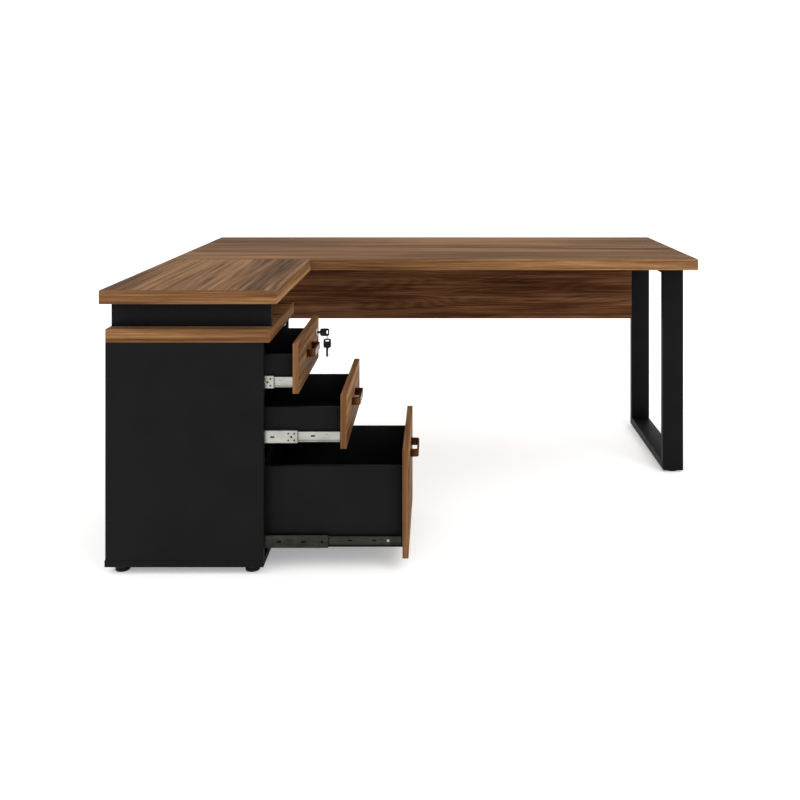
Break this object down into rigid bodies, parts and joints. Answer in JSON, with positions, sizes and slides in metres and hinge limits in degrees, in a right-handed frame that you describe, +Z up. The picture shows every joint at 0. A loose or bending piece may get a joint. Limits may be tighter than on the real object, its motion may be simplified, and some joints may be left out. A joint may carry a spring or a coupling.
{
  "type": "corner desk",
  "caption": "L-shaped office desk: long walnut top on steel loop legs, return top over a black pedestal with open drawers, lock and keys.",
  "frame": {"origin": "on the floor, under the centre of the footprint of the two worktops", "axes": "+X along the main top towards the loop leg that stands free of the pedestal, +Y towards the main top's back edge, +Z up"},
  "size_m": [1.75, 1.325, 0.75],
  "materials": {
    "walnut_laminate": "satin wood-grain melamine, grain along the board",
    "walnut_edge_band": "wood-grain edge banding",
    "black_laminate": "matt black melamine",
    "black_powder_coat": "fine matt powder coat",
    "zinc_steel": "bright zinc plate",
    "dark_zinc_steel": "dark zinc plate",
    "copper_toned_zamak": "brushed copper-toned plate",
    "polished_chrome": "polished",
    "nickel_key_steel": "nickel plate",
    "black_key_plastic": "moulded key bow",
    "black_nylon": "moulded nylon",
    "beech": "turned dowel"
  },
  "bodies": {
    "frame": {"bottom_runner_outer": "dark_zinc_steel", "carcass_dowels": "beech", "foot_sockets": "zinc_steel", "joining_plates": "zinc_steel", "left_leg_frame": "black_powder_coat", "leg_glides": "black_nylon", "lock_strike": "zinc_steel", "main_top": "walnut_laminate", "middle_runner_outer": "zinc_steel", "modesty_brackets": "zinc_steel", "modesty_panel": "walnut_laminate", "pedestal_back": "black_laminate", "pedestal_base": "black_laminate", "pedestal_side_far": "black_laminate", "pedestal_side_near": "black_laminate", "pedestal_top": "walnut_laminate", "pedestal_top_edging": "walnut_edge_band", "return_top": "walnut_laminate", "right_leg_frame": "black_powder_coat", "riser_far": "black_laminate", "riser_near": "black_laminate", "structure_screws": "zinc_steel", "top_runner_outer": "zinc_steel", "worktop_edging": "walnut_edge_band"},
    "top_drawer": {"top_drawer_front": "walnut_laminate", "top_drawer_sides": "black_laminate", "top_drawer_back": "black_laminate", "top_drawer_bottom": "black_laminate", "top_drawer_screws": "zinc_steel", "top_handle": "copper_toned_zamak", "top_runner_inner": "zinc_steel", "lock_housing": "polished_chrome", "lock_nut": "zinc_steel"},
    "top_runner": {"top_runner_middle": "zinc_steel"},
    "middle_drawer": {"middle_drawer_front": "walnut_laminate", "middle_drawer_sides": "black_laminate", "middle_drawer_back": "black_laminate", "middle_drawer_bottom": "black_laminate", "middle_drawer_screws": "zinc_steel", "middle_handle": "copper_toned_zamak", "middle_runner_inner": "zinc_steel"},
    "middle_runner": {"middle_runner_middle": "zinc_steel"},
    "bottom_drawer": {"bottom_drawer_front": "walnut_laminate", "bottom_drawer_sides": "black_laminate", "bottom_drawer_back": "black_laminate", "bottom_drawer_bottom": "black_laminate", "bottom_drawer_screws": "zinc_steel", "bottom_handle": "copper_toned_zamak", "bottom_runner_inner": "dark_zinc_steel"},
    "bottom_runner": {"bottom_runner_middle": "dark_zinc_steel"},
    "lock_plug": {"lock_cylinder": "polished_chrome", "lock_cam": "zinc_steel"},
    "key": {"inserted_key": "nickel_key_steel"},
    "ring": {"key_ring": "nickel_key_steel"},
    "spare": {"spare_key": "nickel_key_steel"},
    "foot_left_near": {"foot_left_near": "black_nylon"},
    "foot_left_far": {"foot_left_far": "black_nylon"},
    "foot_right_near": {"foot_right_near": "black_nylon"},
    "foot_right_far": {"foot_right_far": "black_nylon"}
  },
  "joints": [
    {"name": "top_drawer_slide", "type": "slide", "parent": "frame", "child": "top_drawer", "axis": [1, 0, 0], "range_m": [-0.074, 0.326]},
    {"name": "top_runner_slide", "type": "slide", "parent": "frame", "child": "top_runner", "axis": [1, 0, 0], "range_m": [-0.037, 0.163]},
    {"name": "middle_drawer_slide", "type": "slide", "parent": "frame", "child": "middle_drawer", "axis": [1, 0, 0], "range_m": [-0.2, 0.2]},
    {"name": "middle_runner_slide", "type": "slide", "parent": "frame", "child": "middle_runner", "axis": [1, 0, 0], "range_m": [-0.1, 0.1]},
    {"name": "bottom_drawer_slide", "type": "slide", "parent": "frame", "child": "bottom_drawer", "axis": [1, 0, 0], "range_m": [-0.363, 0.037]},
    {"name": "bottom_runner_slide", "type": "slide", "parent": "frame", "child": "bottom_runner", "axis": [1, 0, 0], "range_m": [-0.1815, 0.0185]},
    {"name": "lock_turn", "type": "hinge", "parent": "top_drawer", "child": "lock_plug", "pos_m": [-0.3555, -0.2995, 0.564], "axis": [-1, 0, 0], "range_deg": [0, 90]},
    {"name": "key_pull", "type": "slide", "parent": "lock_plug", "child": "key", "axis": [1, 0, 0], "range_m": [0, 0.03]},
    {"name": "ring_hang", "type": "hinge", "parent": "key", "child": "ring", "pos_m": [-0.3229, -0.2995, 0.5555], "axis": [-1, 0, 0], "range_deg": [-90, 0]},
    {"name": "spare_key_swing", "type": "hinge", "parent": "ring", "child": "spare", "pos_m": [-0.3229, -0.2995, 0.5395], "axis": [0, 1, 0], "range_deg": [-20, 20]},
    {"name": "foot_left_near_level", "type": "slide", "parent": "frame", "child": "foot_left_near", "axis": [0, 0, -1], "range_m": [0, 0.01]},
    {"name": "foot_left_far_level", "type": "slide", "parent": "frame", "child": "foot_left_far", "axis": [0, 0, -1], "range_m": [0, 0.01]},
    {"name": "foot_right_near_level", "type": "slide", "parent": "frame", "child": "foot_right_near", "axis": [0, 0, -1], "range_m": [0, 0.01]},
    {"name": "foot_right_far_level", "type": "slide", "parent": "frame", "child": "foot_right_far", "axis": [0, 0, -1], "range_m": [0, 0.01]}
  ],
  "couplings": [
    {"joint": "top_runner_slide", "follows": "top_drawer_slide", "ratio": 0.5},
    {"joint": "middle_runner_slide", "follows": "middle_drawer_slide", "ratio": 0.5},
    {"joint": "bottom_runner_slide", "follows": "bottom_drawer_slide", "ratio": 0.5},
    {"joint": "ring_hang", "follows": "lock_turn", "ratio": -1}
  ]
}
